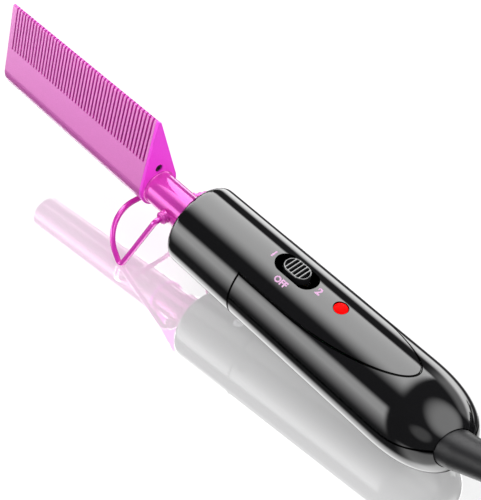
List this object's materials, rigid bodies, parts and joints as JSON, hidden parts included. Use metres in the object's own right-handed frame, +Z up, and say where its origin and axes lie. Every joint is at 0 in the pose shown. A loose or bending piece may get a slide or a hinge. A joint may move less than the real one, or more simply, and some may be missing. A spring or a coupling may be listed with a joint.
{
  "type": "electric hot comb",
  "caption": "Heated comb with a round-backed toothed head on a tube neck, a round handle with a slide switch and pilot lamp, a fold-away wire stand, and a mains cord with a flat plug.",
  "frame": {"origin": "centre of the bottom of the box of the tool without its cord, on the surface it stands on", "axes": "+X from the cord end towards the comb's tip, along the tool seen from above; +Y to the tool's left; +Z up"},
  "size_m": [0.3712, 0.0858, 0.0822],
  "materials": {
    "comb_alloy": "satin lacquered alloy",
    "neck_metal": "polished lacquered steel",
    "stand_metal": "lacquered wire",
    "shell_black": "high gloss moulded",
    "knob_black": "ribbed satin gloss",
    "switch_plastic": "moulded",
    "contact_brass": "bright",
    "screw_steel": "zinc plated",
    "heater_ceramic": "fired ceramic",
    "shoe_alloy": "extruded",
    "bush_resin": "moulded resin",
    "board_laminate": "solder mask",
    "component": "dipped",
    "lead_sleeve": "sleeved wire",
    "lamp_red": "glowing red lens",
    "clamp_plastic": "moulded",
    "cord_rubber": "matt jacket",
    "plug_plastic": "moulded",
    "pin_metal": "nickel plated",
    "tie_fabric": "woven hook strap"
  },
  "bodies": {
    "tool": {"comb_head": "comb_alloy", "neck_tube": "neck_metal", "flange_screw": "screw_steel", "heater_element": "heater_ceramic", "heater_shoe_upper": "shoe_alloy", "heater_shoe_lower": "shoe_alloy", "thermal_fuse": "component", "heater_leads": "lead_sleeve", "stand_bracket": "neck_metal", "bracket_rivet": "neck_metal", "top_shell": "shell_black", "rear_shell": "shell_black", "bottom_shell": "shell_black", "front_bush": "bush_resin", "rear_bush": "bush_resin", "neck_screw": "screw_steel", "housing_screws": "screw_steel", "circuit_board": "board_laminate", "board_screws": "screw_steel", "switch_body": "switch_plastic", "lamp": "lamp_red", "lamp_lens": "lamp_red", "power_diode": "component", "lamp_resistors": "component", "capacitor": "component", "heater_terminal": "switch_plastic", "mains_terminal": "switch_plastic", "mains_leads": "lead_sleeve", "cord_end": "cord_rubber", "cord_clamp": "clamp_plastic", "clamp_screws": "screw_steel", "strain_relief": "cord_rubber", "cord": "cord_rubber", "cord_coil": "cord_rubber", "cord_tie": "tie_fabric", "plug_lead": "cord_rubber", "plug_body": "plug_plastic", "plug_pins": "pin_metal"},
    "stand": {"stand_wire": "stand_metal"},
    "switch": {"switch_slider": "contact_brass", "switch_knob": "knob_black"}
  },
  "joints": [
    {"name": "stand_fold", "type": "hinge", "parent": "tool", "child": "stand", "pos_m": [0.01601, 0, 0.03309], "axis": [0, 1, 0], "range_deg": [0, 76]},
    {"name": "switch_slide", "type": "slide", "parent": "tool", "child": "switch", "axis": [0.994, 0, 0.1097], "range_m": [-0.004, 0.004]}
  ]
}
